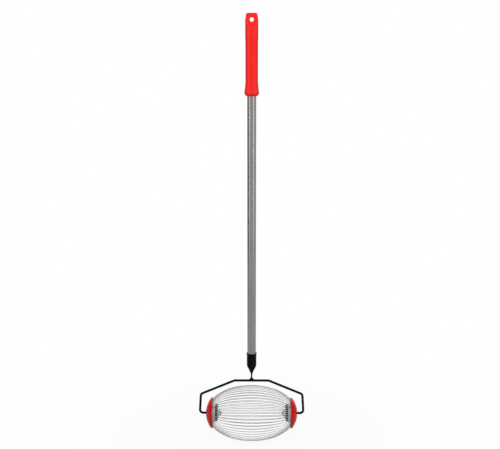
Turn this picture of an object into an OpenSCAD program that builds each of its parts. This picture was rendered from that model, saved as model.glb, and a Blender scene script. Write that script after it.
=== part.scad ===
// A rolling nut gatherer: a cage of bowed spring wires turns on the two ends of a bent rod yoke,
// and a welded socket, a long tube and a moulded grip make the handle that pushes it.
// Millimetres. The origin is the centre of the hanging hole, +Z runs up the handle, X along the axle.

/* [Handle tube] */
// Outside diameter of the tube
tube_od = 25.4; // [22:0.1:28]
// Wall of the tube
tube_wall = 1.2; // [0.8:0.1:2]
// Bare tube between the grip and the socket
tube_bare_len = 758.5; // [300:0.5:1100]
// Tube hidden inside the socket
tube_in_socket = 36; // [34:0.5:40]

/* [Grip] */
// Length of the grip from its top to its lower edge
grip_len = 225.5; // [170:0.5:280]
// Height of the grip's top above the hanging hole's centre
grip_top_rise = 18; // [14:0.5:26]
// Solid plastic from the hole's centre down to the end of the tube
grip_solid_len = 38; // [34:0.5:60]
// Diameter where the hand holds it
grip_d = 34.8; // [31:0.1:40]
// How far the part under the hole stands out from the hand's part, on the radius
grip_shoulder_rise = 0.6; // [0.2:0.1:2]
// Length of that fuller part below the hole's centre
grip_shoulder_len = 44; // [36:0.5:55]
// Length over which it falls to the hand's part
grip_shoulder_fall = 16; // [6:0.5:24]
// How far below the hole's centre the top starts to draw in
grip_top_start = 7; // [4:0.5:20]
// Radius of the arc along which it draws in
grip_top_bow_r = 85; // [60:1:160]
// Rounding of the top edge
grip_top_round = 3; // [1:0.1:5]
// How far the bell at the lower end flares, on the radius
grip_bell_flare = 3.1; // [1:0.1:5]
// Height from the start of the flare to the bell's widest level
grip_bell_len = 34; // [20:0.5:50]
// Radius of the bell's rounded lower edge
grip_bell_round = 13; // [8:0.1:16]
// Wall of plastic left at the lower edge, round the tube
grip_mouth_wall = 2.7; // [0.5:0.1:4]
// Thickness of the flattened end round the hole
grip_tab_t = 18; // [14:0.5:24]
// Flat face left below the hole's chamfer
grip_tab_margin = 2.5; // [1:0.1:5]
// Height over which the flat faces slope out to the round grip
grip_tab_slope = 19; // [10:0.5:24]
// Diameter of the hanging hole
hang_hole_d = 11.5; // [8:0.1:15]
// Chamfer at both ends of the hanging hole
hang_hole_chamfer = 0.8; // [0.3:0.1:1.5]

/* [Socket] */
// Wall of the socket
socket_wall = 1.4; // [0.9:0.1:2]
// Straight length of the socket from its mouth
socket_len = 43; // [41:0.5:60]
// Height of the flared mouth
socket_lip_len = 5; // [3:0.1:8]
// How far the mouth flares, on the radius
socket_lip_flare = 0.9; // [0.8:0.1:2]
// Length over which the round socket is pressed flat
socket_taper_len = 22; // [16:0.5:40]
// Thickness of the pressed tongue
tongue_t = 4.6; // [3:0.1:6]
// Width of the tongue at its top
tongue_w = 24; // [18:0.5:27]
// Length of the tongue down to the yoke's bar
tongue_len = 24; // [16:0.5:60]
// How far the mouth's ring stands above the mouth
ring_proud = 1.6; // [0.5:0.1:4]
// Rivet's distance below the mouth
rivet_drop = 26; // [12:0.5:28]
// Shank diameter of the rivet
rivet_d = 4.8; // [3.2:0.1:6]
// Head diameter of the rivet
rivet_head_d = 9; // [8:0.1:12]
// Head height of the rivet
rivet_head_h = 1.8; // [1:0.1:3]

/* [Yoke] */
// Diameter of the yoke's rod
rod_d = 7; // [5:0.1:8]
// Straight bar under the socket, between its two bends
yoke_bar_len = 102; // [60:1:140]
// Free height between the bar and the cage
yoke_clear = 18.2; // [8:0.1:40]
// Free width between a cap's tip and the yoke's arm
yoke_arm_gap = 14.9; // [13:0.1:30]
// How far the shoulders lie below the bar
yoke_shoulder_drop = 43.7; // [25:0.1:60]
// How far each arm leans in at its shoulder
yoke_arm_lean = 3.8; // [0.5:0.1:12]
// Bend radius of the rod at its centre line
yoke_bend_r = 10; // [8:0.1:12]

/* [Cage] */
// Number of wires
wire_n = 50; // [20:1:60]
// Diameter of a wire
wire_d = 2; // [1.4:0.1:2.6]
// Outside diameter at the middle of the cage
cage_d = 166.6; // [145:0.1:185]
// Length of the cage between the rims of its caps
cage_len = 236; // [205:0.5:270]
// Bow radius of the flatter middle of a wire
wire_mid_r = 229; // [200:1:280]
// Half angle of that middle bow
wire_mid_angle = 14; // [8:0.5:16]
// Bend radius of the hook at a wire's end
wire_hook_r = 4; // [3:0.1:5]
// Straight tail after the hook
wire_tail = 7; // [5:0.1:8]

/* [End caps] */
// Diameter of a cap's rim
cap_rim_d = 91.2; // [84:0.1:98]
// Width of the straight band at the rim
cap_band_w = 4.1; // [2:0.1:6]
// Wall of the band
cap_band_wall = 1.8; // [1.2:0.1:2.5]
// Height from the rim to the tip
cap_height = 20.2; // [19:0.1:28]
// Wall of the dome
cap_wall = 2.2; // [1.6:0.1:3]
// Flat round the axle hole at the tip
cap_flat_d = 12; // [9:0.1:16]
// Diameter of the screw bosses
cap_boss_d = 9; // [7:0.1:11]
// Diameter of the middle boss
cap_core_d = 15; // [12:0.1:18]

/* [Hubs] */
// Thickness of the wire plate
plate_t = 1.5; // [1:0.1:2]
// Depth of the plate's dish
dish_depth = 7.6; // [4:0.1:9]
// Diameter of the dish's floor
dish_d = 55; // [54:0.1:58]
// Diameter of the hub's disc
hub_d = 52; // [50:0.1:53.5]
// Thickness of the hub's disc
hub_t = 6.6; // [4:0.1:9]
// Diameter of the bush's sleeve inside the hub
bush_d = 14; // [12:0.1:17]
// Diameter of the bush's nose
nose_d = 24; // [20:0.1:28]
// Length of the nose
nose_len = 7; // [4:0.1:12]

/* [Fasteners] */
// Number of screws in a hub
screw_n = 4; // [3:1:6]
// Diameter of the circle that the screws stand on
screw_circle_d = 38; // [36.5:0.1:40]
// Shank diameter of a screw
screw_d = 3.5; // [2.5:0.1:4.5]
// Shank length of a screw
screw_len = 22; // [16:0.5:24]
// Head diameter of a screw
screw_head_d = 7; // [6:0.1:8]
// Head height of a screw
screw_head_h = 2.4; // [1.6:0.1:3.2]
// Outside diameter of an axle washer
washer_d = 19; // [14:0.1:24]
// Thickness of an axle washer
washer_t = 1.2; // [0.6:0.1:2]
// Outside diameter of a push nut
nut_d = 14; // [12:0.1:18]
// Sheet thickness of a push nut
nut_t = 0.8; // [0.5:0.1:1.2]
// Rise of a push nut's middle
nut_rise = 1.2; // [0.6:0.1:2]

/* [Hidden] */
// Clearances on the radius or the face
tube_fit = 0.05;
socket_fit = 0.1;
ring_fit = 0.05;
rivet_fit = 0.05;
seat_gap = 0.05;
axle_fit = 0.06;
bush_fit = 0.05;
cap_bore_fit = 0.4;
screw_fit = 0.3;
thread_fit = 0.03;
plate_edge_gap = 0.4;
notch_fit = 0.2;
wire_entry_gap = 0.3;
axle_play = 0.3;
// Small sizes of single pieces
overrun = 2;
slice = 0.4;
bend_lap = 0.3;
bend_swell = 0.03;
rivet_tail_d = 6.4;
rivet_tail_h = 3;
weld_leg = 5;
plate_proud = 0.35;
clamp_inset = 1;
plate_hole_gap = 1;
rod_proud = 1.5;
hub_round = 1.2;
nose_draft = 1;
nut_slot_w = 0.9;
nut_slots = 6;
recess_w = 1;
recess_share = 0.6;
recess_depth_share = 0.6;
head_rim_share = 0.45;
wire_phase = 2.2;
arc_steps = 12;
hull_fn = 32;
$fn = 64;

// Radii
tube_r = tube_od / 2;
grip_r = grip_d / 2;
grip_shoulder_r = grip_r + grip_shoulder_rise;
grip_bell_r = grip_r + grip_bell_flare;
grip_mouth_r = tube_r + tube_fit + grip_mouth_wall;
socket_bore_r = tube_r + socket_fit;
socket_r = socket_bore_r + socket_wall;
rod_r = rod_d / 2;
cap_r = cap_rim_d / 2;
cap_bore_r = cap_r - cap_band_wall;
cage_mid_r = (cage_d - wire_d) / 2;

// Heights down the handle
grip_bottom_z = grip_top_rise - grip_len;
socket_mouth_z = grip_bottom_z - tube_bare_len;
sleeve_end_z = socket_mouth_z - socket_len;
taper_end_z = sleeve_end_z - socket_taper_len;
bar_z = taper_end_z - tongue_len;
axle_z = bar_z - rod_r - yoke_clear - cage_d / 2;
rivet_z = socket_mouth_z - rivet_drop;
tab_flat_z = -hang_hole_d / 2 - hang_hole_chamfer - grip_tab_margin;

// The grip's top, an arc that starts straight up and ends in a rounded edge
top_round_z = grip_top_rise - grip_top_round;
top_angle = asin((top_round_z + grip_top_start) / (grip_top_bow_r - grip_top_round));
top_round_r = grip_shoulder_r - grip_top_bow_r + (grip_top_bow_r - grip_top_round) * cos(top_angle);

// The grip's bell, a flare that starts straight down and a round edge that draws in to the tube
bell_reach = (pow(grip_bell_len, 2) + pow(grip_bell_flare, 2)) / (2 * grip_bell_flare);
bell_arc_r = bell_reach - grip_bell_round;
bell_arc_angle = asin(grip_bell_len / bell_reach);
mouth_angle = acos((grip_mouth_r - grip_bell_r + grip_bell_round) / grip_bell_round);
bell_round_z = grip_bottom_z + grip_bell_round * sin(mouth_angle);
bell_top_z = bell_round_z + grip_bell_len;

// Places along the axle, from the middle of the cage outwards
rim_u = cage_len / 2;
band_u = rim_u + cap_band_w;
tip_u = rim_u + cap_height;
flange_u = rim_u - plate_proud;
tail_u = flange_u + plate_t + seat_gap + wire_d / 2;
clamp_u = tail_u + wire_d / 2 + seat_gap;
dish_u = flange_u - dish_depth;
boss_u = dish_u + plate_t;
hub_u = dish_u - hub_t;
nose_u = hub_u - nose_len;
washer_u = nose_u - axle_play - washer_t;
nut_u = washer_u - nut_t - nut_rise;
rod_end_u = nut_u - rod_proud;

// The dome, a slice of a ball that stands on the band
dome_h = cap_height - cap_band_w;
dome_r = (pow(cap_r, 2) + pow(dome_h, 2)) / (2 * dome_h);
dome_u = tip_u - dome_r;
dome_angle = asin(cap_r / dome_r);
flat_angle = asin(cap_flat_d / 2 / dome_r);
cavity_r = dome_r - cap_wall;
cavity_angle = asin(cap_bore_r / cavity_r);

// A wire's bow: a middle arc, an end arc that passes through the cap's rim, and a hook
wire_rim_r = cap_bore_r - wire_entry_gap - wire_d;
wire_joint = [0, cage_mid_r - wire_mid_r] + wire_mid_r * [sin(wire_mid_angle), cos(wire_mid_angle)];
wire_chord = [rim_u, wire_rim_r] - wire_joint;
wire_end_r = wire_chord * wire_chord / (-2 * wire_chord * [sin(wire_mid_angle), cos(wire_mid_angle)]);
wire_end_centre = wire_joint - wire_end_r * [sin(wire_mid_angle), cos(wire_mid_angle)];
wire_end_angle = asin((tail_u - wire_hook_r - wire_end_centre[0]) / (wire_end_r - wire_hook_r));
hook_centre = wire_end_centre + (wire_end_r - wire_hook_r) * [sin(wire_end_angle), cos(wire_end_angle)];
tail_r = hook_centre[1] - wire_tail;

// The yoke's corners, as X and Z
arm_x = tip_u + yoke_arm_gap + rod_r;
yoke_half = [
    [yoke_bar_len / 2, bar_z],
    [arm_x - yoke_arm_lean, bar_z - yoke_shoulder_drop],
    [arm_x, axle_z],
    [rod_end_u, axle_z]
];
yoke_points = concat([for (i = [3:-1:0]) [-yoke_half[i][0], yoke_half[i][1]]], yoke_half);

SIDES = ["left", "right"];
wire_pairs = ceil(wire_n / 2);
function pair_name(i) = str("cage_wire_pair_", i < 10 ? "0" : "", i);

// Helpers

function heading(angle) = [cos(angle), sin(angle)];
function signed(angle) = angle > 180 ? angle - 360 : angle < -180 ? angle + 360 : angle;
function arc_points(centre, r, from, to) =
    [for (i = [0:arc_steps]) centre + r * heading(from + (to - from) * i / arc_steps)];

// Turns what stands on Z so that it lies along X
module along_x() {
    rotate([0, 90, 0]) children();
}

// A shape turned about X, from points given as place along X and radius
module turned_x(points) {
    along_x() rotate_extrude() polygon([for (p = points) [p[1], p[0]]]);
}

// Puts what is made for the right end of the axle at either end
module at_end(side) {
    translate([0, 0, axle_z]) {
        if (side == "left") mirror([1, 0, 0]) children();
        else children();
    }
}

// Repeats the children round the axle on the screws' circle
module on_screw_circle() {
    for (i = [0:screw_n - 1])
        rotate([360 / screw_n * (i + 1 / 2), 0, 0]) translate([0, screw_circle_d / 2, 0]) children();
}

// A length of round wire bent to an arc in the XY plane, run on past both ends by lap
module bow(centre, r, from, sweep, d, lap = 0) {
    past = lap / r * 180 / PI;
    translate([centre[0], centre[1], 0]) rotate([0, 0, from - past])
        rotate_extrude(angle = sweep + 2 * past) translate([r, 0]) circle(d = d);
}

// A round rod along a list of XY corners, with the same bend at each corner. The straight runs lap
// into the bends, which are a hair thicker.
module bent_rod(points, d, bend_r) {
    last = len(points) - 1;
    run = [for (i = [0:last - 1]) points[i + 1] - points[i]];
    aim = [for (v = run) atan2(v[1], v[0])];
    turn = [for (i = [1:last - 1]) signed(aim[i] - aim[i - 1])];
    trim = concat([0], [for (t = turn) bend_r * tan(abs(t) / 2) - bend_lap], [0]);
    for (i = [0:last - 1]) {
        start = points[i] + trim[i] * heading(aim[i]);
        translate([start[0], start[1], 0]) rotate([0, 0, aim[i]]) along_x()
            cylinder(d = d, h = norm(run[i]) - trim[i] - trim[i + 1]);
    }
    for (i = [1:last - 1]) {
        side = sign(turn[i - 1]);
        bend_start = points[i] - (trim[i] + bend_lap) * heading(aim[i - 1]);
        centre = bend_start + bend_r * heading(aim[i - 1] + 90 * side);
        from = aim[i - 1] - 90 * side + min(turn[i - 1], 0);
        bow(centre, bend_r, from, abs(turn[i - 1]), d + 2 * bend_swell);
    }
}

// The rivet's hole from the handle's axis out to the front
module rivet_hole() {
    translate([0, 0, rivet_z]) rotate([90, 0, 0])
        cylinder(d = rivet_d + 2 * rivet_fit, h = socket_r + overrun);
}

// Handle

module grip() {
    profile = concat(
        [[0, grip_top_rise]],
        arc_points([top_round_r, top_round_z], grip_top_round, 90, top_angle),
        arc_points([grip_shoulder_r - grip_top_bow_r, -grip_top_start], grip_top_bow_r, top_angle, 0),
        [
            [grip_shoulder_r, -grip_shoulder_len],
            [grip_r, -grip_shoulder_len - grip_shoulder_fall]
        ],
        arc_points([grip_r + bell_arc_r, bell_top_z], bell_arc_r, 180, 180 + bell_arc_angle),
        arc_points([grip_bell_r - grip_bell_round, bell_round_z], grip_bell_round,
            bell_arc_angle, -mouth_angle),
        [[0, grip_bottom_z]]
    );
    flat_cut = [
        [grip_tab_t / 2, grip_top_rise + overrun],
        [grip_tab_t / 2, tab_flat_z],
        [grip_shoulder_r + overrun, tab_flat_z - grip_tab_slope],
        [grip_shoulder_r + overrun, grip_top_rise + overrun]
    ];
    color("#e92a2f") difference() {
        rotate_extrude() polygon(profile);
        translate([0, 0, grip_bottom_z - overrun])
            cylinder(r = tube_r + tube_fit, h = overrun - grip_bottom_z - grip_solid_len);
        for (turn = [0, 180])
            rotate([0, 0, turn]) {
                translate([-grip_bell_r, 0, 0]) rotate([90, 0, 90])
                    linear_extrude(2 * grip_bell_r) polygon(flat_cut);
                translate([0, grip_tab_t / 2 - hang_hole_chamfer, 0]) rotate([-90, 0, 0])
                    cylinder(r1 = hang_hole_d / 2, r2 = hang_hole_d / 2 + hang_hole_chamfer + overrun,
                        h = hang_hole_chamfer + overrun);
            }
        rotate([90, 0, 0]) cylinder(d = hang_hole_d, h = grip_tab_t + overrun, center = true);
    }
}

module handle_tube() {
    bottom_z = socket_mouth_z - tube_in_socket;
    color("#8b8885") difference() {
        translate([0, 0, bottom_z]) cylinder(r = tube_r, h = -grip_solid_len - bottom_z);
        translate([0, 0, bottom_z - overrun])
            cylinder(r = tube_r - tube_wall, h = 2 * overrun - grip_solid_len - bottom_z);
        rivet_hole();
    }
}

// A round sleeve with a flared mouth, pressed flat below and notched over the yoke's bar. The tongue
// laps over the taper's end, which is a hair thinner.
module socket() {
    flare_z = socket_mouth_z - socket_lip_len;
    sleeve = [
        [socket_bore_r + socket_lip_flare, socket_mouth_z],
        [socket_r + socket_lip_flare, socket_mouth_z],
        [socket_r + socket_lip_flare, flare_z],
        [socket_r, flare_z - socket_lip_flare],
        [socket_r, sleeve_end_z],
        [socket_bore_r, sleeve_end_z],
        [socket_bore_r, flare_z - socket_lip_flare],
        [socket_bore_r + socket_lip_flare, flare_z]
    ];
    foot_w = 2 * (rod_r + weld_leg);
    tongue = [
        [-tongue_w / 2, taper_end_z + slice],
        [tongue_w / 2, taper_end_z + slice],
        [tongue_w / 2, taper_end_z],
        [foot_w / 2, bar_z],
        [-foot_w / 2, bar_z],
        [-tongue_w / 2, taper_end_z]
    ];
    taper_end = [tongue_t - 2 * bend_swell, tongue_w - 2 * bend_swell, slice];
    color("#171614") difference() {
        union() {
            rotate_extrude() polygon(sleeve);
            difference() {
                hull() {
                    translate([0, 0, sleeve_end_z]) cylinder(r = socket_r, h = slice, $fn = hull_fn);
                    translate([-taper_end[0] / 2, -taper_end[1] / 2, taper_end_z]) cube(taper_end);
                }
                hull() {
                    translate([0, 0, sleeve_end_z]) cylinder(r = socket_bore_r, h = overrun, $fn = hull_fn);
                    translate([-slice / 2, socket_wall - tongue_w / 2, taper_end_z + socket_wall])
                        cube([slice, tongue_w - 2 * socket_wall, slice]);
                }
            }
            translate([-tongue_t / 2, 0, 0]) rotate([90, 0, 90]) linear_extrude(tongue_t) polygon(tongue);
        }
        translate([-tongue_w, 0, bar_z]) along_x() cylinder(r = rod_r + seat_gap, h = 2 * tongue_w);
        rivet_hole();
    }
}

// A pale ring between the tube and the flared mouth
module socket_ring() {
    inner = tube_r + ring_fit;
    outer = socket_bore_r + socket_lip_flare - ring_fit;
    round_r = (outer - inner) / 2;
    seat_z = socket_mouth_z - socket_lip_len + ring_fit;
    color("#c9c7c2") rotate_extrude() polygon(concat(
        [[inner, seat_z], [outer, seat_z]],
        arc_points([outer - round_r, socket_mouth_z + ring_proud - round_r], round_r, 0, 180)
    ));
}

module socket_rivet() {
    head_r = rivet_head_d / 2;
    dome_r = (pow(head_r, 2) + pow(rivet_head_h, 2)) / (2 * rivet_head_h);
    tail_y = sqrt(pow(tube_r - tube_wall, 2) - pow(rivet_tail_d / 2, 2));
    dome = arc_points([0, socket_r + rivet_head_h - dome_r], dome_r, 90 - asin(head_r / dome_r), 90);
    color("#2a2927") translate([0, 0, rivet_z]) rotate([90, 0, 0]) rotate_extrude() polygon(concat(
        [
            [0, tail_y - rivet_tail_h],
            [rivet_tail_d / 2, tail_y - rivet_tail_h],
            [rivet_tail_d / 2, tail_y],
            [rivet_d / 2, tail_y],
            [rivet_d / 2, socket_r]
        ],
        dome
    ));
}

module yoke() {
    color("#171614") rotate([90, 0, 0]) bent_rod(yoke_points, rod_d, yoke_bend_r);
}

// A fillet weld over the bar at each face of the tongue
module yoke_weld() {
    inner = rod_r + seat_gap;
    face = tongue_t / 2;
    color("#1d1b19") translate([0, 0, bar_z]) for (flip = [0, 1])
        mirror([flip, 0, 0]) along_x() rotate([0, 0, 90]) rotate_extrude(angle = 180)
            polygon([[inner, face], [rod_r + weld_leg, face], [inner, face + weld_leg]]);
}

// Ends of the cage, made for the right end

module end_cap() {
    shell = concat(
        [[rim_u, 0], [rim_u, cap_r], [band_u, cap_r]],
        arc_points([dome_u, 0], dome_r, dome_angle, flat_angle),
        [[dome_u + dome_r * cos(flat_angle), 0]]
    );
    cavity = concat(
        [[rim_u - overrun, 0], [rim_u - overrun, cap_bore_r]],
        arc_points([dome_u, 0], cavity_r, cavity_angle, 0)
    );
    boss_h = tip_u - boss_u;
    clamp_r = hook_centre[1] - clamp_inset;
    color("#c9121d") difference() {
        turned_x(shell);
        difference() {
            turned_x(cavity);
            translate([boss_u, 0, 0]) along_x() cylinder(d = cap_core_d, h = boss_h);
            on_screw_circle() translate([boss_u, 0, 0]) along_x() cylinder(d = cap_boss_d, h = boss_h);
            translate([clamp_u, 0, 0]) along_x() difference() {
                cylinder(r = clamp_r, h = boss_h);
                cylinder(r = tail_r + clamp_inset, h = boss_h);
            }
        }
        translate([boss_u - overrun, 0, 0]) along_x()
            cylinder(r = rod_r + cap_bore_fit, h = boss_h + 2 * overrun);
        on_screw_circle() translate([boss_u - overrun, 0, 0]) along_x()
            cylinder(r = screw_d / 2 + thread_fit, h = overrun + screw_len - hub_t - plate_t + thread_fit);
    }
}

// A dished steel plate whose notched edge holds the hooked wire ends
module wire_plate() {
    edge_r = cap_bore_r - plate_edge_gap;
    dish_top_r = tail_r - clamp_inset;
    section = [
        [flange_u, edge_r],
        [flange_u + plate_t, edge_r],
        [flange_u + plate_t, dish_top_r - plate_t],
        [boss_u, dish_d / 2 - plate_t],
        [boss_u, rod_r + plate_hole_gap],
        [dish_u, rod_r + plate_hole_gap],
        [dish_u, dish_d / 2],
        [flange_u, dish_top_r]
    ];
    notch_w = wire_d + 2 * notch_fit;
    color("#a5a49f") difference() {
        turned_x(section);
        on_screw_circle() translate([dish_u - overrun, 0, 0]) along_x()
            cylinder(r = screw_d / 2 + screw_fit, h = plate_t + 2 * overrun);
        for (i = [1:wire_n])
            rotate([wire_angle(i), 0, 0]) translate([flange_u - overrun, hook_centre[1], -notch_w / 2])
                cube([plate_t + 2 * overrun, edge_r, notch_w]);
    }
}

// A black disc that clamps the plate and holds the bearing bush
module hub() {
    disc_r = hub_d / 2;
    section = concat(
        [[dish_u, 0], [dish_u, disc_r]],
        arc_points([hub_u + hub_round, disc_r - hub_round], hub_round, 90, 180),
        [[hub_u, 0]]
    );
    color("#1b1b1b") difference() {
        turned_x(section);
        translate([hub_u - overrun, 0, 0]) along_x()
            cylinder(r = bush_d / 2 + bush_fit, h = hub_t + 2 * overrun);
        on_screw_circle() translate([hub_u - overrun, 0, 0]) along_x()
            cylinder(r = screw_d / 2 + screw_fit, h = hub_t + 2 * overrun);
    }
}

// A pale bearing bush: a sleeve inside the hub and a nose on its face
module bush() {
    bore = rod_r + axle_fit;
    sleeve_end = dish_u - seat_gap;
    section = concat(
        [
            [sleeve_end, bore],
            [sleeve_end, bush_d / 2],
            [hub_u, bush_d / 2],
            [hub_u, nose_d / 2]
        ],
        arc_points([nose_u + hub_round, nose_d / 2 - nose_draft - hub_round], hub_round, 90, 180),
        [[nose_u, bore]]
    );
    color("#c9c8c3") turned_x(section);
}

// Pan-head screws with a cross recess
module hub_screws() {
    head_r = screw_head_d / 2;
    rim_h = screw_head_h * head_rim_share;
    section = [
        [hub_u + screw_len, 0],
        [hub_u + screw_len, screw_d / 2],
        [hub_u, screw_d / 2],
        [hub_u, head_r],
        [hub_u - rim_h, head_r],
        [hub_u - screw_head_h, head_r * recess_share],
        [hub_u - screw_head_h, 0]
    ];
    recess_len = head_r * recess_share * 2;
    recess_h = screw_head_h * recess_depth_share;
    color("#9b9b98") on_screw_circle() difference() {
        turned_x(section);
        for (turn = [0, 90])
            rotate([turn, 0, 0]) translate([hub_u - screw_head_h - overrun, -recess_len / 2, -recess_w / 2])
                cube([overrun + recess_h, recess_len, recess_w]);
    }
}

module axle_washer() {
    color("#b9b8b4") translate([washer_u, 0, 0]) along_x() difference() {
        cylinder(d = washer_d, h = washer_t);
        translate([0, 0, -overrun]) cylinder(r = rod_r + screw_fit, h = washer_t + 2 * overrun);
    }
}

// A coned push-on retainer with slotted teeth that bite the rod
module push_nut() {
    bore = rod_r + thread_fit;
    section = [
        [washer_u, nut_d / 2],
        [washer_u, bore + 2 * nut_t],
        [nut_u + nut_t, bore],
        [nut_u, bore],
        [nut_u, bore + nut_t],
        [washer_u - nut_t, nut_d / 2 - nut_t],
        [washer_u - nut_t, nut_d / 2]
    ];
    color("#b9b8b4") difference() {
        turned_x(section);
        for (i = [1:nut_slots])
            rotate([360 / nut_slots * i, 0, 0]) translate([nut_u - overrun, 0, -nut_slot_w / 2])
                cube([washer_u - nut_u + 2 * overrun, bore + 2 * nut_t, nut_slot_w]);
    }
}

// Wires, in arcs and tails that lap into each other and differ in thickness by a hair

function wire_angle(i) = wire_phase + 360 / wire_n * (i - 1);

module cage_wire(i) {
    color("#c6c6c3") translate([0, 0, axle_z]) rotate([wire_angle(i), 0, 0]) {
        bow([0, cage_mid_r - wire_mid_r], wire_mid_r, 90 - wire_mid_angle, 2 * wire_mid_angle,
            wire_d - 2 * bend_swell, bend_lap);
        for (flip = [0, 1])
            mirror([flip, 0, 0]) {
                bow(wire_end_centre, wire_end_r, 90 - wire_end_angle,
                    wire_end_angle - wire_mid_angle, wire_d);
                bow(hook_centre, wire_hook_r, 0, 90 - wire_end_angle, wire_d - 2 * bend_swell, bend_lap);
                translate([tail_u, tail_r, 0]) rotate([-90, 0, 0]) cylinder(d = wire_d, h = wire_tail);
            }
    }
}

// Two neighbouring wires, or the last one alone where their number is odd
module wire_pair(i) {
    for (k = [2 * i - 1:min(2 * i, wire_n)]) cage_wire(k);
}

grip();
handle_tube();
socket();
socket_ring();
socket_rivet();
yoke();
yoke_weld();
for (side = SIDES) {
    at_end(side) end_cap();
    at_end(side) wire_plate();
    at_end(side) hub();
    at_end(side) bush();
    at_end(side) hub_screws();
    at_end(side) axle_washer();
    at_end(side) push_nut();
}
for (i = [1:wire_pairs]) {
    wire_pair(i);
}
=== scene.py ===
"""Looks of a rolling nut gatherer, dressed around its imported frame.

Metres. The origin is the centre of the hanging hole, +Z runs up the handle and X along the axle.
"""
import math

import bmesh
import bpy
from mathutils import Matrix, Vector


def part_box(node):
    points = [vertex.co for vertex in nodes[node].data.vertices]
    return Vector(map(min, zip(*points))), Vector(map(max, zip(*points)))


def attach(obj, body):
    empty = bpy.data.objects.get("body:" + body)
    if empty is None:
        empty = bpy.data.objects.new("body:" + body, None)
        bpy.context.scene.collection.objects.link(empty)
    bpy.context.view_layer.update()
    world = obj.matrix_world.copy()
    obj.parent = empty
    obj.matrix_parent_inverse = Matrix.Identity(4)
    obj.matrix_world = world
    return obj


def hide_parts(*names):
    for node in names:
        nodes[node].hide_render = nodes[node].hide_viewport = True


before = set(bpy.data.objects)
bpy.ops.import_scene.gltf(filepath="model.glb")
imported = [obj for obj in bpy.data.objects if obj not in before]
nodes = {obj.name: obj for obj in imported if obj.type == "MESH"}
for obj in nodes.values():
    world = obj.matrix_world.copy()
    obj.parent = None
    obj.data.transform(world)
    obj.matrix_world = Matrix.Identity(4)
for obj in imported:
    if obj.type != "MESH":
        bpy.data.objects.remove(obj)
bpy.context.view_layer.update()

# Places and sizes read from the frame
GRIP_LOW, GRIP_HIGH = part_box("grip")
RIVET_LOW, RIVET_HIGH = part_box("socket_rivet")
CAP_LOW, CAP_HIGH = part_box("right_end_cap")
TUBE_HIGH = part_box("handle_tube")[1]
SOCKET_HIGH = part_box("socket")[1]
YOKE_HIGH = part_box("yoke")[1]
CAGE_LOW = min(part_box(name)[0].z for name in nodes if name.startswith("cage_wire"))
TUBE_R = TUBE_HIGH.x
ROD_R = YOKE_HIGH.y
BAR_Z = YOKE_HIGH.z - ROD_R
AXLE_Z = (CAP_LOW.z + CAP_HIGH.z) / 2
RIVET_Z = (RIVET_LOW.z + RIVET_HIGH.z) / 2

# Clearance round the tube, and how near two points count as one
FIT = 0.00005
SAME_POINT = 0.000002

# Grip, with rings at shares of its flat top
GRIP_R = 0.0174
SHOULDER_R = 0.0180
GRIP_TOP_ROUND = 0.003
TOP_RINGS = (0.3, 0.65)
TOP_BOW_R = 0.085
TOP_BOW_START = -0.007
SHOULDER_END = -0.044
HAND_START = -0.060
BELL_LEN = 0.034
BELL_ROUND = 0.013
BELL_EDGE = 0.0009
MOUTH_WALL = 0.0027
SEAM_H = 0.00016
SEAM_HALF = 0.0005
SEAM_INNER_R = TUBE_R + 0.001
GRIP_SIDES = 96

# The grip's tab, pressed flat round the hanging hole, whose flats bend softly into a slope below it
TAB_HALF = 0.009
TAB_FLAT_Z = -0.00905
TAB_SLOPE_Z = -0.02805
TAB_SLOPE_HALF = SHOULDER_R + 0.002
TAB_ROUND = 0.003
TAB_SOFT = 0.12
HOLE_R = 0.00575
HOLE_CHAMFER = 0.0008
HOLE_SIDES = 96

# Socket's sleeve, with a share of the lip's outside that stays straight
SOCKET_R = 0.0142
SOCKET_WALL = 0.0014
LIP_R = SOCKET_HIGH.x
LIP_LEN = 0.005
LIP_FLARE = 0.0035
LIP_ROUND = 0.0006
LIP_OUTSIDE = 0.0065
LIP_STRAIGHT = 0.35
SLEEVE_LEN = 0.043
BORE_FLOOR = 0.004
SOCKET_SIDES = 72

# Socket's pressed tongue, with the powers of its outline from round to flat
PRESS_START = 0.003
PRESS_EASE = 0.35
PRESS_STEPS = 24
TAPER_LEN = 0.022
TONGUE_T = 0.0046
TONGUE_W = 0.024
FOOT_W = 0.017
ROUND_POWER = 2.0
FLAT_POWER = 5.0

# Rivet
RIVET_R = RIVET_HIGH.x
RIVET_RIM = 0.0004
RIVET_EDGE = 0.00012
SHANK_R = 0.0024
TAIL_R = 0.0032
TAIL_LEN = 0.003
TAIL_ROUND = 0.001
STEM_R = 0.0013
STEM_EDGE = 0.0002
STEM_DEPTH = 0.0005
RIVET_SIDES = 48

# End caps, with places along the axle from the middle of the cage
CAP_R = CAP_HIGH.y
CAP_RIM = 0.118
CAP_RIM_CHAMFER = 0.0003
CAP_TIP = 0.1382
CAP_BAND = 0.0041
CAP_BAND_WALL = 0.0018
CAP_WALL = 0.0022
CAP_ROUND = 0.0007
CAP_FLAT_R = 0.006
CAP_CORE_R = 0.0075
AXLE_PLAY = 0.0004
CAP_BORE_R = ROD_R + AXLE_PLAY
CAP_BORE_ROUND = 0.0004
CAP_INSIDE_STEPS = 24
CAP_SIDES = 128
BOSS_R = 0.0045
BOSS_BORE_R = 0.00178
BOSS_CIRCLE_R = 0.019
BOSS_COUNT = 4
BOSS_SIDES = 24
CLAMP_START = 0.12125
CLAMP_RADII = (0.0317, 0.0367)
DOME_LAP = 0.001

# Weld, with its fade, hollow and ripple as shares of the leg
WELD_LEG = 0.005
WELD_IN_TONGUE = 0.0002
WELD_IN_ROD = 0.0003
WELD_FADE = 0.25
WELD_HOLLOW = 0.16
WELD_RIPPLE = 0.09
WELD_RIPPLES = 9
WELD_STEPS = 90
WELD_BOWS = 8

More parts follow.
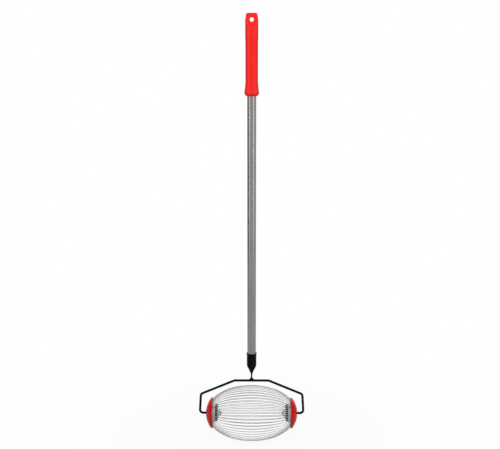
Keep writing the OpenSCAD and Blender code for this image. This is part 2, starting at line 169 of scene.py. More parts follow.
# Camera, with lens and sensor in millimetres
CAMERA_FAR = 2.454
CAMERA_ASIDE = -0.0048
CAMERA_HEIGHT = -0.008
CAMERA_TILT = math.radians(77.0)
CAMERA_TURN = math.radians(-0.5)
LENS = 63.0
SENSOR_WIDTH = 36.0

# Studio set
WORLD_STRENGTH = 0.17
FLOOR_SIZE = 16.0
FLOOR_PAINT = 0.55
FLOOR_GLOW = 0.94
FLOOR_NEAR = 0.15
FLOOR_FAR = 0.9
FLAG_PLACE = (-1.6, 0.35, -0.6)
FLAG_SIZE = (1.3, 4.0)
FLAG_RADIANCE = 0.05
LAMP_AIM = (0.0, 0.0, -0.6)

# Sockets of the Mix node when it mixes colours
MIX_FACTOR = 0
MIX_ONE = 6
MIX_OTHER = 7
MIX_RESULT = 2

# Lean of a rounded normal, as one less its cosine, where an edge starts to show and where it shows fully
EDGE_FAINT = 0.02
EDGE_FULL = 0.3
EDGE_SAMPLES = 4


class Nodes:
    """Adds nodes to a tree and feeds their sockets with links or plain values."""

    def __init__(self, tree):
        self.tree = tree

    def node(self, kind, settings=None, values=(), **inputs):
        """A new node. Values feed its sockets in their order, inputs feed them by name."""
        made = self.tree.nodes.new(kind)
        for key, value in (settings or {}).items():
            setattr(made, key, value)
        for socket, value in zip(made.inputs, values):
            self.feed(socket, value)
        for key, value in inputs.items():
            self.feed(made.inputs[key.replace("_", " ")], value)
        return made

    def feed(self, socket, value):
        if isinstance(value, bpy.types.NodeSocket):
            self.tree.links.new(value, socket)
        else:
            socket.default_value = value

    def span(self, factor, low=0.0, high=1.0, start=0.3, end=0.7):
        """Low where the factor is at start, high where it is at end, and never past them."""
        limits = {"From_Min": start, "From_Max": end, "To_Min": low, "To_Max": high}
        return self.node("ShaderNodeMapRange", Value=factor, **limits).outputs["Result"]

    def times(self, one, other):
        return self.node("ShaderNodeMath", {"operation": "MULTIPLY"}, (one, other)).outputs[0]

    def seen_directly(self):
        """One for rays that come from the camera, a mirror or glass, nothing for soft light."""
        path = self.node("ShaderNodeLightPath")
        total = path.outputs["Is Camera Ray"]
        for name in ("Is Glossy Ray", "Is Transmission Ray"):
            larger = self.node("ShaderNodeMath", {"operation": "MAXIMUM"}, (total, path.outputs[name]))
            total = larger.outputs[0]
        return total


class Finish(Nodes):
    """A Principled material with colour, roughness and bump from textures in the piece's own space."""

    def __init__(self, name, metallic=0.0, specular=0.5):
        self.material = bpy.data.materials.new(name)
        self.material.use_nodes = True
        super().__init__(self.material.node_tree)
        self.shader = self.tree.nodes["Principled BSDF"]
        self.feed(self.shader.inputs["Metallic"], metallic)
        self.feed(self.shader.inputs["Specular IOR Level"], specular)
        self.place = self.node("ShaderNodeTexCoord").outputs["Object"]

    def noise(self, size, detail=3.0, stretch=None, roughness=0.55):
        where = self.place
        if stretch:
            where = self.node("ShaderNodeMapping", Vector=where, Scale=stretch).outputs["Vector"]
        look = {"Scale": 1.0 / size, "Detail": detail, "Roughness": roughness}
        return self.node("ShaderNodeTexNoise", Vector=where, **look).outputs["Fac"]

    def cells(self, size):
        """A random level for each cell of about that size."""
        colour = self.node("ShaderNodeTexVoronoi", Vector=self.place, Scale=1.0 / size).outputs["Color"]
        return self.node("ShaderNodeSeparateColor", Color=colour).outputs[0]

    def mix(self, factor, one, other):
        made = self.node("ShaderNodeMix", {"data_type": "RGBA"})
        self.feed(made.inputs[MIX_FACTOR], factor)
        self.feed(made.inputs[MIX_ONE], one)
        self.feed(made.inputs[MIX_OTHER], other)
        return made.outputs[MIX_RESULT]

    def tint(self, body, colour, where, amount):
        """The body's colour, turned towards another one by an amount at most."""
        return self.mix(self.times(where, amount), body, colour)

    def edges(self, radius):
        """One along convex and concave edges, nothing on open faces."""
        rounded = self.node("ShaderNodeBevel", {"samples": EDGE_SAMPLES}, Radius=radius).outputs["Normal"]
        true = self.node("ShaderNodeNewGeometry").outputs["Normal"]
        dot = self.node("ShaderNodeVectorMath", {"operation": "DOT_PRODUCT"}, (rounded, true))
        return self.span(dot.outputs["Value"], start=1.0 - EDGE_FAINT, end=1.0 - EDGE_FULL)

    def bump(self, height, depth, strength, under=None):
        made = self.node("ShaderNodeBump", Height=height, Distance=depth, Strength=strength)
        if under:
            self.feed(made.inputs["Normal"], under)
        return made.outputs["Normal"]

    def done(self, colour, roughness, normal):
        self.feed(self.shader.inputs["Base Color"], colour)
        self.feed(self.shader.inputs["Roughness"], roughness)
        self.feed(self.shader.inputs["Normal"], normal)
        return self.material


def rgb(red, green, blue):
    return (red, green, blue, 1.0)


def moulded_plastic(name, colour, shade, worn, roughness, grain, specular=0.5):
    """Injection-moulded plastic: faint flow clouds, a fine grain and paler rubbed edges."""
    made = Finish(name, specular=specular)
    clouds = made.span(made.noise(size=0.03, detail=4.0, stretch=(1.0, 1.0, 0.45)))
    scuffs = made.noise(size=0.004, detail=6.0, stretch=(1.0, 1.0, 0.3))
    patches = made.span(made.noise(size=0.006), low=0.1, high=0.8, start=0.35, end=0.65)
    rubbed = made.times(made.edges(radius=0.0012), patches)
    body = made.mix(clouds, shade, colour)
    body = made.tint(body, worn, made.span(scuffs, start=0.55, end=0.72), amount=0.06)
    body = made.tint(body, worn, rubbed, amount=0.55)
    polish = made.span(made.noise(size=0.012, detail=5.0), low=roughness - 0.05, high=roughness + 0.07)
    dents = made.bump(made.noise(size=0.016, detail=2.0), depth=0.0004, strength=0.25)
    skin = made.bump(made.noise(size=grain, detail=2.0), depth=grain * 0.12, strength=0.5, under=dents)
    return made.done(body, polish, skin)


def powder_coat(name):
    """Black powder coat: pebbled skin with a little dust, thinner and greyer where edges are rubbed."""
    made = Finish(name, specular=0.04)
    clouds = made.span(made.noise(size=0.02, detail=4.0))
    patches = made.span(made.noise(size=0.004, detail=5.0), start=0.42, end=0.68)
    rubbed = made.times(made.edges(radius=0.0010), patches)
    dust = made.span(made.noise(size=0.0016, detail=6.0), high=0.12, start=0.60, end=0.74)
    body = made.mix(clouds, rgb(0.0022, 0.0021, 0.0019), rgb(0.0042, 0.0039, 0.0035))
    body = made.tint(body, rgb(0.06, 0.058, 0.056), rubbed, amount=0.4)
    body = made.mix(dust, body, rgb(0.05, 0.048, 0.045))
    polish = made.span(made.noise(size=0.008, detail=4.0), low=0.34, high=0.48)
    waves = made.bump(made.noise(size=0.0028, detail=1.0), depth=0.00018, strength=0.35)
    pebbles = made.bump(made.noise(size=0.0007, detail=2.0), depth=0.00005, strength=0.5, under=waves)
    return made.done(body, polish, pebbles)


def drawn_tube(name):
    """Satin grey aluminium tube with draw lines along its length and a few handling marks."""
    made = Finish(name, metallic=1.0)
    clouds = made.span(made.noise(size=0.05, detail=4.0, stretch=(1.0, 1.0, 0.3)))
    lines = made.noise(size=0.0011, detail=3.0, stretch=(1.0, 1.0, 0.004), roughness=0.6)
    marks = made.noise(size=0.0035, detail=7.0, stretch=(1.0, 1.0, 0.12))
    body = made.mix(clouds, rgb(0.225, 0.217, 0.211), rgb(0.265, 0.257, 0.250))
    body = made.tint(body, rgb(0.18, 0.174, 0.170), made.span(lines), amount=0.35)
    body = made.tint(body, rgb(0.42, 0.41, 0.40), made.span(marks, start=0.63, end=0.74), amount=0.30)
    polish = made.span(lines, low=0.32, high=0.38)
    grooves = made.bump(lines, depth=0.00003, strength=0.22)
    return made.done(body, polish, grooves)


def plated_steel(name):
    """Zinc plate: cloudy passivation, small spangles and brighter rubbed edges."""
    made = Finish(name, metallic=1.0)
    bright = rgb(0.50, 0.50, 0.48)
    dull = rgb(0.33, 0.33, 0.315)
    spangle = made.cells(size=0.0022)
    clouds = made.span(made.noise(size=0.007, detail=5.0))
    body = made.mix(clouds, dull, bright)
    body = made.tint(body, dull, spangle, amount=0.22)
    body = made.tint(body, bright, made.edges(radius=0.0006), amount=0.4)
    polish = made.span(spangle, low=0.26, high=0.42, start=0.0, end=1.0)
    skin = made.bump(made.noise(size=0.0009, detail=3.0), depth=0.00002, strength=0.4)
    return made.done(body, polish, skin)


def spring_wire(name):
    """Bright drawn spring wire: streaks along the cage and a faint tarnish."""
    made = Finish(name, metallic=1.0)
    streaks = made.noise(size=0.0006, detail=4.0, stretch=(0.03, 1.0, 1.0), roughness=0.65)
    tarnish = made.span(made.noise(size=0.012, detail=5.0), start=0.45, end=0.75)
    body = made.mix(made.span(streaks), rgb(0.36, 0.36, 0.355), rgb(0.47, 0.47, 0.465))
    body = made.tint(body, rgb(0.27, 0.265, 0.255), tarnish, amount=0.35)
    polish = made.span(streaks, low=0.24, high=0.36)
    skin = made.bump(streaks, depth=0.00001, strength=0.3)
    return made.done(body, polish, skin)


# A finish for each of the frame's material slots
FINISHES = {
    "red_grip": moulded_plastic(
        "grip_red", colour=rgb(0.95, 0.018, 0.015), shade=rgb(0.89, 0.015, 0.012),
        worn=rgb(0.95, 0.16, 0.14), roughness=0.42, grain=0.0006, specular=0.2),
    "red_cap": moulded_plastic(
        "cap_red", colour=rgb(0.70, 0.006, 0.010), shade=rgb(0.62, 0.005, 0.008),
        worn=rgb(0.80, 0.05, 0.05), roughness=0.30, grain=0.0005, specular=0.05),
    "pale_ring": moulded_plastic(
        "ring_pale", colour=rgb(0.30, 0.295, 0.285), shade=rgb(0.25, 0.245, 0.238),
        worn=rgb(0.42, 0.41, 0.40), roughness=0.45, grain=0.0005),
    "black_plastic": moulded_plastic(
        "hub_black", colour=rgb(0.013, 0.013, 0.0135), shade=rgb(0.008, 0.008, 0.0085),
        worn=rgb(0.06, 0.06, 0.06), roughness=0.42, grain=0.0005, specular=0.2),
    "pale_nylon": moulded_plastic(
        "bush_nylon", colour=rgb(0.72, 0.71, 0.69), shade=rgb(0.65, 0.64, 0.62),
        worn=rgb(0.80, 0.79, 0.76), roughness=0.42, grain=0.0004, specular=0.3),
    "black_steel": powder_coat("yoke_black"),
    "grey_tube": drawn_tube("tube_grey"),
    "zinc_steel": plated_steel("zinc_plate"),
    "wire_steel": spring_wire("wire_bright"),
}

for thing in nodes.values():
    for place in thing.material_slots:
        place.material = FINISHES[place.material.name]


def between(start, end, share):
    return start + (end - start) * share


def smooth_step(share):
    share = min(max(share, 0.0), 1.0)
    return share * share * (3.0 - 2.0 * share)


def smooth_min(one, other, reach):
    """The smaller of two lengths, rounded off where they come within reach of each other."""
    blend = max(reach - abs(one - other), 0.0) / reach
    return min(one, other) - blend * blend * reach / 4.0


def turns(count, shift=0.0):
    """Angles in radians of equal steps round a full turn, shifted by a share of a step."""
    return [2.0 * math.pi * (i + shift) / count for i in range(count)]


def arc(centre_one, centre_two, radius, start, end, steps):
    """Points of a profile on a round stretch, with angles in degrees from its first direction."""
    angles = [math.radians(between(start, end, i / steps)) for i in range(steps + 1)]
    return [(centre_one + radius * math.cos(a), centre_two + radius * math.sin(a)) for a in angles]


def line(start, end, steps, eased=False):
    """Points of a profile after its start, on a straight stretch or an eased swing of its first value."""
    points = []
    for i in range(1, steps + 1):
        share = i / steps
        across = smooth_step(share) if eased else share
        points.append((between(start[0], end[0], across), between(start[1], end[1], share)))
    return points


def loft(rings, close_ends=True):
    """A mesh skinned over rings of equal count, whose first and last ring are filled to close its ends."""
    made = bmesh.new()
    loops = [[made.verts.new(point) for point in ring] for ring in rings]
    count = len(loops[0])
    for upper, lower in zip(loops, loops[1:]):
        for i in range(count):
            j = (i + 1) % count
            made.faces.new((upper[i], upper[j], lower[j], lower[i]))
    if close_ends:
        made.faces.new(loops[0])
        made.faces.new(loops[-1])
    bmesh.ops.recalc_face_normals(made, faces=made.faces)
    return made


def new_mesh(name, made):
    """Turns a bmesh into a mesh and frees it."""
    mesh = bpy.data.meshes.new(name)
    made.to_mesh(mesh)
    made.free()
    return mesh


def add_object(name, data):
    thing = bpy.data.objects.new(name, data)
    bpy.context.scene.collection.objects.link(thing)
    return thing


def add_piece(name, made, body, slot, node, sharp=40.0):
    """Turns a bmesh into a piece of the object that rides on a body and stands for a CAD node."""
    mesh = new_mesh(name, made)
    for face in mesh.polygons:
        face.use_smooth = True
    mesh.set_sharp_from_angle(angle=math.radians(sharp))
    mesh.materials.append(FINISHES[slot])
    piece = add_object(name, mesh)
    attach(piece, body)
    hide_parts(node)


def cut(made, profile, axis, centre, sides=64):
    """What is left of a bmesh without a turned shape, given as places along its axis and radii."""
    angles = turns(sides, shift=0.5)
    drill = loft([[(r * math.cos(a), r * math.sin(a), u) for a in angles] for u, r in profile])
    turn = Vector((0.0, 0.0, 1.0)).rotation_difference(Vector(axis)).to_matrix()
    bmesh.ops.rotate(drill, verts=drill.verts, matrix=turn)
    bmesh.ops.translate(drill, verts=drill.verts, vec=centre)
    block = add_object("block", new_mesh("block", made))
    tool = add_object("drill", new_mesh("drill", drill))
    boolean = block.modifiers.new("bore", "BOOLEAN")
    boolean.object = tool
    boolean.operation = "DIFFERENCE"
    boolean.solver = "EXACT"
    bpy.context.view_layer.update()
    rest = bmesh.new()
    rest.from_mesh(block.evaluated_get(bpy.context.evaluated_depsgraph_get()).to_mesh())
    bmesh.ops.remove_doubles(rest, verts=rest.verts, dist=SAME_POINT)
    bmesh.ops.dissolve_degenerate(rest, edges=rest.edges, dist=SAME_POINT)
    for thing in (block, tool):
        mesh = thing.data
        bpy.data.objects.remove(thing)
        bpy.data.meshes.remove(mesh)
    return rest


def join(made, other, shift=(0.0, 0.0, 0.0)):
    """Adds one bmesh, shifted, to another and frees it."""
    bmesh.ops.translate(other, verts=other.verts, vec=shift)
    mesh = new_mesh("part", other)
    made.from_mesh(mesh)
    bpy.data.meshes.remove(mesh)


def grip_top():
    """Radius and height from the middle of the top over the bowed sides to the hand's stretch."""
    edge_z = GRIP_HIGH.z - GRIP_TOP_ROUND
    bow_r = SHOULDER_R - TOP_BOW_R
    lean = math.asin((edge_z - TOP_BOW_START) / (TOP_BOW_R - GRIP_TOP_ROUND))
    edge_r = bow_r + (TOP_BOW_R - GRIP_TOP_ROUND) * math.cos(lean)
    points = [(edge_r * share, GRIP_HIGH.z) for share in TOP_RINGS]
    points += arc(edge_r, edge_z, GRIP_TOP_ROUND, 90.0, math.degrees(lean), steps=8)
    points += arc(bow_r, TOP_BOW_START, TOP_BOW_R, math.degrees(lean), 0.0, steps=14)[1:]
    points += line((SHOULDER_R, TOP_BOW_START), (SHOULDER_R, SHOULDER_END), steps=18)
    points += line((SHOULDER_R, SHOULDER_END), (GRIP_R, HAND_START), steps=10, eased=True)
    return points


def grip_bell():
    """Radius and height from the hand's stretch over the bell to the tube and up its bore."""
    bottom = GRIP_LOW.z
    bell_r = GRIP_HIGH.x
    round_r = bell_r - BELL_ROUND
    bore = TUBE_R + FIT
    bell_z = bottom + math.sqrt(BELL_ROUND ** 2 - (bore + MOUTH_WALL - round_r) ** 2)
    flare_z = bell_z + BELL_LEN
    flare = bell_r - GRIP_R
    flare_r = (BELL_LEN ** 2 + flare ** 2) / (2.0 * flare) - BELL_ROUND
    flare_turn = math.degrees(math.asin(BELL_LEN / (flare_r + BELL_ROUND)))
    edge_z = bottom + BELL_EDGE
    lean = math.asin((bell_z - edge_z) / (BELL_ROUND - BELL_EDGE))
    edge_r = round_r + (BELL_ROUND - BELL_EDGE) * math.cos(lean)
    edge_turn = -math.degrees(lean)
    points = line((GRIP_R, HAND_START), (GRIP_R, flare_z), steps=16)
    points += arc(GRIP_R + flare_r, flare_z, flare_r, 180.0, 180.0 + flare_turn, steps=16)[1:]
    points += arc(round_r, bell_z, BELL_ROUND, flare_turn, edge_turn, steps=16)[1:]
    points += arc(edge_r, edge_z, BELL_EDGE, edge_turn, -90.0, steps=5)[1:]
    points.append((bore, bottom))
    points += line((bore, bottom), (bore, TUBE_HIGH.z), steps=4)
    return points


def grip_ring(radius, height):
    """One level of the grip: a circle pressed flat at front and back, with a mould seam at its sides."""
    slope = (TAB_FLAT_Z - height) / (TAB_FLAT_Z - TAB_SLOPE_Z)
    flat = between(TAB_HALF, TAB_SLOPE_HALF, (slope + math.hypot(slope, TAB_SOFT)) / 2.0)
    over = max(height - GRIP_HIGH.z + GRIP_TOP_ROUND, 0.0)
    flat += math.sqrt(max(GRIP_TOP_ROUND ** 2 - over ** 2, 0.0)) - GRIP_TOP_ROUND
    seam_turn = SEAM_HALF / GRIP_R
    angles = turns(GRIP_SIDES)
    angles += [side + offset for side in (0.0, math.pi) for offset in (-seam_turn, seam_turn)]
    ring = []
    for angle in sorted(a % (2.0 * math.pi) for a in angles):
        at_side = math.isclose(abs(math.cos(angle)), 1.0)
        reach = radius + (SEAM_H if at_side and radius > SEAM_INNER_R else 0.0)
        y = radius * math.sin(angle)
        pressed = math.copysign(smooth_min(abs(y), flat, TAB_ROUND), y)
        ring.append((reach * math.cos(angle), pressed, height))
    return ring


def build_grip():
    """A moulded handgrip with a flattened top, a chamfered hanging hole and a bell at the tube."""
    made = loft([grip_ring(r, z) for r, z in grip_top() + grip_bell()])
    straight = TAB_HALF - HOLE_CHAMFER
    mouth = straight + 2.0 * HOLE_CHAMFER
    mouth_r = HOLE_R + 2.0 * HOLE_CHAMFER
    hole = [(-mouth, mouth_r), (-straight, HOLE_R), (straight, HOLE_R), (mouth, mouth_r)]
    made = cut(made, hole, (0.0, 1.0, 0.0), (0.0, 0.0, 0.0), HOLE_SIDES)
    add_piece("grip_body", made, "handle", "red_grip", "grip")


def socket_sleeve(mouth, press_z):
    """Radius and height from the bore's floor up to the rolled mouth and down the outside."""
    bore = TUBE_R + 2.0 * FIT
    bore_z = mouth - SLEEVE_LEN + BORE_FLOOR
    flare_r = LIP_R - SOCKET_WALL
    lip_top = mouth - LIP_ROUND
    lip_end = lip_top - LIP_OUTSIDE
    points = [(bore, bore_z)]
    points += line((bore, bore_z), (bore, mouth - LIP_LEN), steps=4)
    points.append((flare_r, mouth - LIP_FLARE))
    points += arc((flare_r + LIP_R) / 2, lip_top, LIP_ROUND, 180.0, 0.0, steps=8)
    for share, z in line((0.0, lip_top), (1.0, lip_end), steps=8):
        swing = smooth_step((share - LIP_STRAIGHT) / (1.0 - LIP_STRAIGHT))
        points.append((between(LIP_R, SOCKET_R, swing), z))
    points += line((SOCKET_R, lip_end), (SOCKET_R, press_z), steps=8)
    return points


def socket_ring(half_x, half_y, power, height):
    """One level of the socket: an ellipse at the round power, squarer at higher ones."""
    ring = []
    for angle in turns(SOCKET_SIDES):
        c = math.cos(angle)
        s = math.sin(angle)
        x = math.copysign(half_x * abs(c) ** (ROUND_POWER / power), c)
        y = math.copysign(half_y * abs(s) ** (ROUND_POWER / power), s)
        ring.append((x, y, height))
    return ring


def build_socket():
    """A tube end rolled out at its mouth and pressed flat below, down to the notch over the bar."""
    mouth = SOCKET_HIGH.z
    press_z = mouth - SLEEVE_LEN + PRESS_START
    taper_end = mouth - SLEEVE_LEN - TAPER_LEN
    levels = [(r, r, ROUND_POWER, z) for r, z in socket_sleeve(mouth, press_z)]
    for share, z in line((0.0, press_z), (1.0, taper_end), PRESS_STEPS):
        press = between(share, smooth_step(share), PRESS_EASE)
        half_x = between(SOCKET_R, TONGUE_T / 2, press)
        half_y = between(SOCKET_R, TONGUE_W / 2, smooth_step(share))
        levels.append((half_x, half_y, between(ROUND_POWER, FLAT_POWER, share ** 3), z))
    for half_y, z in line((TONGUE_W / 2, taper_end), (FOOT_W / 2, BAR_Z), steps=12, eased=True):
        levels.append((TONGUE_T / 2, half_y, FLAT_POWER, z))
    made = loft([socket_ring(*level) for level in levels])
    made = cut(made, [(-TONGUE_W, ROD_R), (TONGUE_W, ROD_R)], (1.0, 0.0, 0.0), (0.0, 0.0, BAR_Z))
    add_piece("socket_body", made, "handle", "black_steel", "socket", sharp=45.0)


def rivet_profile():
    """Distance from the handle's axis and radius, from the set tail out to the stub of the pulled stem."""
    tail = -RIVET_HIGH.y
    rise = -RIVET_LOW.y - SOCKET_R - RIVET_RIM
    dome_r = (RIVET_R ** 2 + rise ** 2) / (2.0 * rise)
    middle = -RIVET_LOW.y - dome_r
    rim_turn = math.degrees(math.asin(RIVET_R / dome_r))
    hole_turn = math.asin((STEM_R + STEM_EDGE) / dome_r)
    hole = middle + dome_r * math.cos(hole_turn)
    points = arc(tail + TAIL_ROUND, TAIL_R - TAIL_ROUND, TAIL_ROUND, 180.0, 90.0, steps=5)
    points += [(tail + TAIL_LEN, TAIL_R), (tail + TAIL_LEN, SHANK_R), (SOCKET_R, SHANK_R)]
    points += [(SOCKET_R, RIVET_R - RIVET_EDGE), (SOCKET_R + RIVET_EDGE, RIVET_R)]
    points += arc(middle, 0.0, dome_r, rim_turn, math.degrees(hole_turn), steps=10)
    points += arc(hole - STEM_EDGE, STEM_R + STEM_EDGE, STEM_EDGE, 0.0, -90.0, steps=4)[1:]
    points += [(hole - STEM_DEPTH, STEM_R), (hole - STEM_DEPTH + STEM_EDGE, STEM_R / 2)]
    return points


def build_rivet():
    """A blind rivet whose head sits close on the round sleeve."""
    rings = []
    for u, r in rivet_profile():
        seated = max(1.0 - (u - SOCKET_R) / RIVET_RIM, 0.0) if u >= SOCKET_R else 0.0
        ring = []
        for angle in turns(RIVET_SIDES):
            x = r * math.cos(angle)
            sink = seated * (SOCKET_R - math.sqrt(SOCKET_R ** 2 - x ** 2))
            ring.append((x, sink - u, RIVET_Z + r * math.sin(angle)))
        rings.append(ring)
    add_piece("rivet_body", loft(rings), "handle", "black_steel", "socket_rivet")


def weld_bead(side):
    """Rings of a fillet bead over the bar at one face of the tongue, with the ripples of a hand weld."""
    face = TONGUE_T / 2 - WELD_IN_TONGUE
    inner = ROD_R - WELD_IN_ROD
    rings = []
    for i in range(WELD_STEPS + 1):
        share = i / WELD_STEPS
        turn = between(-math.pi / 2, math.pi / 2, share)
        beat = math.cos(2.0 * math.pi * WELD_RIPPLES * share)
        fade = 1.0 - WELD_FADE * abs(2.0 * share - 1.0) ** 4
        leg = WELD_LEG * fade * (1.0 - WELD_RIPPLE * abs(beat))
        section = [(face, inner), (face, ROD_R + leg)]
        for k in range(1, WELD_BOWS):
            angle = math.pi / 2 * k / WELD_BOWS
            reach = leg * (1.0 - WELD_HOLLOW * math.sin(2.0 * angle))
            section.append((face + reach * math.sin(angle), ROD_R + reach * math.cos(angle)))
        section += [(face + leg, ROD_R), (face + leg, inner)]
        rings.append([(side * x, r * math.sin(turn), BAR_Z + r * math.cos(turn)) for x, r in section])
    return rings


def build_weld():
    """The two beads that hold the yoke's bar in the tongue."""
    made = loft(weld_bead(1.0))
    join(made, loft(weld_bead(-1.0)))
    add_piece("weld_beads", made, "handle", "black_steel", "yoke_weld", sharp=60.0)


def lathe(profile, sign, sides):
    """A closed profile of places along the axle and radii, turned about the axle at one end of the cage."""
    angles = turns(sides)
    rings = []
    for u, r in profile + profile[:1]:
        rings.append([(sign * u, r * math.cos(a), AXLE_Z + r * math.sin(a)) for a in angles])
    made = loft(rings, close_ends=False)
    bmesh.ops.remove_doubles(made, verts=made.verts, dist=SAME_POINT)
    bmesh.ops.recalc_face_normals(made, faces=made.faces)
    return made


def cap_dome():
    """Radius and middle of the ball that the dome is a slice of."""
    rise = CAP_TIP - CAP_RIM - CAP_BAND
    radius = (CAP_R ** 2 + rise ** 2) / (2.0 * rise)
    return radius, CAP_TIP - radius


def inside_dome(reach):
    """Place along the axle of the dome's inner face at a radius."""
    radius, middle = cap_dome()
    return middle + math.sqrt((radius - CAP_WALL) ** 2 - reach ** 2)


def cap_profile():
    """Up the axle bore, over the dome, round the rim and back along the inside to the core."""
    radius, middle = cap_dome()
    flat_turn = math.degrees(math.asin(CAP_FLAT_R / radius))
    round_r = CAP_R - CAP_ROUND
    lean = math.asin(round_r / (radius - CAP_ROUND))
    round_u = middle + (radius - CAP_ROUND) * math.cos(lean)
    rim_turn = math.degrees(lean)
    inner_r = CAP_R - CAP_BAND_WALL
    bore_end = CAP_HIGH.x - CAP_BORE_ROUND
    points = [(CAP_LOW.x, CAP_BORE_R)]
    points += arc(bore_end, CAP_BORE_R + CAP_BORE_ROUND, CAP_BORE_ROUND, 270.0, 360.0, steps=4)
    points += arc(middle, 0.0, radius, flat_turn, rim_turn, steps=44)
    points += arc(round_u, round_r, CAP_ROUND, rim_turn, 90.0, steps=5)[1:]
    points += arc(CAP_RIM + CAP_ROUND, round_r, CAP_ROUND, 90.0, 180.0, steps=5)
    points += [(CAP_RIM, inner_r + CAP_RIM_CHAMFER), (CAP_RIM + CAP_RIM_CHAMFER, inner_r)]
    for i in range(CAP_INSIDE_STEPS + 1):
        reach = between(inner_r, CAP_CORE_R, i / CAP_INSIDE_STEPS)
        points.append((inside_dome(reach), reach))
    points.append((CAP_LOW.x, CAP_CORE_R))
    return points


def build_cap(side, sign):
    """A moulded dome with a rounded rim, its screw bosses and the ring that clamps the wires' tails."""
    made = lathe(cap_profile(), sign, CAP_SIDES)
    inner, outer = CLAMP_RADII
    ring = [(CLAMP_START, inner), (CLAMP_START, outer)]
    ring += [(inside_dome(r) + DOME_LAP, r) for r in (outer, inner)]
    join(made, lathe(ring, sign, CAP_SIDES))
    boss_end = inside_dome(BOSS_CIRCLE_R) + DOME_LAP
    boss = [(CAP_LOW.x, BOSS_BORE_R), (CAP_LOW.x, BOSS_R), (boss_end, BOSS_R), (boss_end, BOSS_BORE_R)]
    for angle in turns(BOSS_COUNT, shift=0.5):
        away = (0.0, BOSS_CIRCLE_R * math.cos(angle), BOSS_CIRCLE_R * math.sin(angle))
        join(made, lathe(boss, sign, BOSS_SIDES), away)
    add_piece(side + "_cap_dome", made, "cage", "red_cap", side + "_end_cap", sharp=35.0)


def build_camera():
    """A camera in front of the handle, about level with its hanging hole and tilted down."""
    view = bpy.data.cameras.new("camera")
    view.lens = LENS
    view.sensor_width = SENSOR_WIDTH
    camera = add_object("camera", view)
    camera.location = (CAMERA_ASIDE * math.cos(CAMERA_TURN) - CAMERA_FAR * math.sin(CAMERA_TURN),
                       -CAMERA_ASIDE * math.sin(CAMERA_TURN) - CAMERA_FAR * math.cos(CAMERA_TURN),
                       CAMERA_HEIGHT)
    camera.rotation_euler = (CAMERA_TILT, 0.0, -CAMERA_TURN)
    bpy.context.scene.camera = camera


def build_world():
    """A sky that is pure white to look at and dim as a light."""
    world = bpy.data.worlds.new("studio")
    bpy.context.scene.world = world
    world.use_nodes = True
    made = Nodes(world.node_tree)
    sky = made.tree.nodes["Background"]
    level = made.span(made.seen_directly(), low=WORLD_STRENGTH, start=0.0, end=1.0)
    made.feed(sky.inputs["Color"], rgb(1.0, 1.0, 1.0))
    made.feed(sky.inputs["Strength"], level)


def empty_material(name):
    """A material without nodes, and what adds nodes to it."""
    material = bpy.data.materials.new(name)
    material.use_nodes = True
    material.node_tree.nodes.clear()
    return material, Nodes(material.node_tree)


def add_board(name, width, height, material):
    """A flat board of the set, lying face up."""
    made = bmesh.new()
    bmesh.ops.create_grid(made, x_segments=1, y_segments=1, size=0.5)
    bmesh.ops.scale(made, verts=made.verts, vec=(width, height, 1.0))
    mesh = new_mesh(name, made)
    mesh.materials.append(material)
    return add_object(name, mesh)


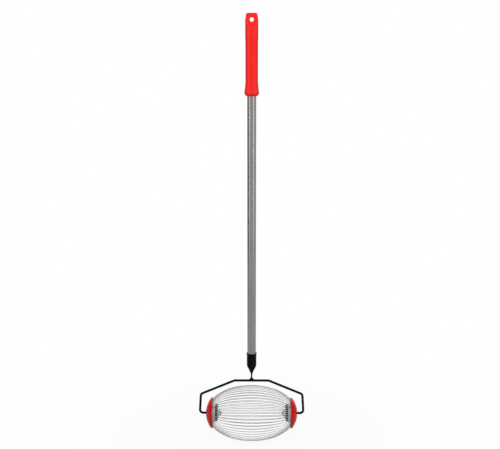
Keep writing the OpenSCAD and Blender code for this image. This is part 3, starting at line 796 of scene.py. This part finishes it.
def build_floor():
    """A white floor that keeps a faint shadow round the object and is pure white further out."""
    material, made = empty_material("floor_white")
    place = made.node("ShaderNodeTexCoord").outputs["Object"]
    reach = made.node("ShaderNodeVectorMath", {"operation": "LENGTH"}, (place,)).outputs["Value"]
    glow = made.span(reach, low=FLOOR_GLOW, start=FLOOR_NEAR, end=FLOOR_FAR)
    share = made.times(made.seen_directly(), glow)
    paint = made.node("ShaderNodeBsdfDiffuse", Color=rgb(FLOOR_PAINT, FLOOR_PAINT, FLOOR_PAINT))
    light = made.node("ShaderNodeEmission")
    blend = made.node("ShaderNodeMixShader", values=(share, paint.outputs[0], light.outputs[0]))
    made.node("ShaderNodeOutputMaterial", Surface=blend.outputs[0])
    floor = add_board("floor", FLOOR_SIZE, FLOOR_SIZE, material)
    floor.location.z = CAGE_LOW


def build_flag():
    """A dim upright board beside the set that only reflections show."""
    material, made = empty_material("flag_grey")
    light = made.node("ShaderNodeEmission", Strength=FLAG_RADIANCE)
    made.node("ShaderNodeOutputMaterial", Surface=light.outputs[0])
    flag = add_board("flag", *FLAG_SIZE, material)
    flag.location = FLAG_PLACE
    upright = math.radians(90.0)
    flag.rotation_euler = (upright, 0.0, upright)
    flag.visible_camera = False
    flag.visible_diffuse = False
    flag.visible_shadow = False


def soft_box(name, place, width, height, radiance, aim=LAMP_AIM, diffuse=True, glossy=True):
    """A rectangular lamp that shines from its place towards its aim."""
    lamp = bpy.data.lights.new(name, "AREA")
    lamp.shape = "RECTANGLE"
    lamp.size = width
    lamp.size_y = height
    lamp.energy = radiance * math.pi * width * height
    box = add_object(name, lamp)
    box.location = place
    box.rotation_euler = (Vector(aim) - Vector(place)).to_track_quat("-Z", "Y").to_euler()
    box.visible_diffuse = diffuse
    box.visible_glossy = glossy


def build_lamps():
    """A high key light in front, fills at the sides, a light behind, and strips that only gloss shows."""
    soft_box("front_box", place=(0.0, -2.6, 2.3), width=1.8, height=1.8, radiance=12.7, glossy=False)
    soft_box("left_strip", place=(-1.45, -0.85, 0.1), width=0.5, height=2.0, radiance=3.4,
             aim=(0.0, 0.0, 0.1), diffuse=False)
    soft_box("right_strip", place=(1.27, -1.10, 0.0), width=0.5, height=2.0, radiance=3.0,
             aim=(0.0, 0.0, 0.0), diffuse=False)
    soft_box("left_fill", place=(-2.4, -0.2, 0.2), width=1.4, height=1.4, radiance=0.8, glossy=False)
    soft_box("right_fill", place=(2.4, -0.2, 0.2), width=1.4, height=1.4, radiance=0.75, glossy=False)
    soft_box("back_box", place=(0.4, 2.6, 1.2), width=1.8, height=1.8, radiance=4.5)


build_grip()
build_socket()
build_rivet()
build_weld()
build_cap("left", -1.0)
build_cap("right", 1.0)
build_camera()
build_world()
build_floor()
build_lamps()
build_flag()
bpy.context.scene.view_settings.view_transform = "Standard"
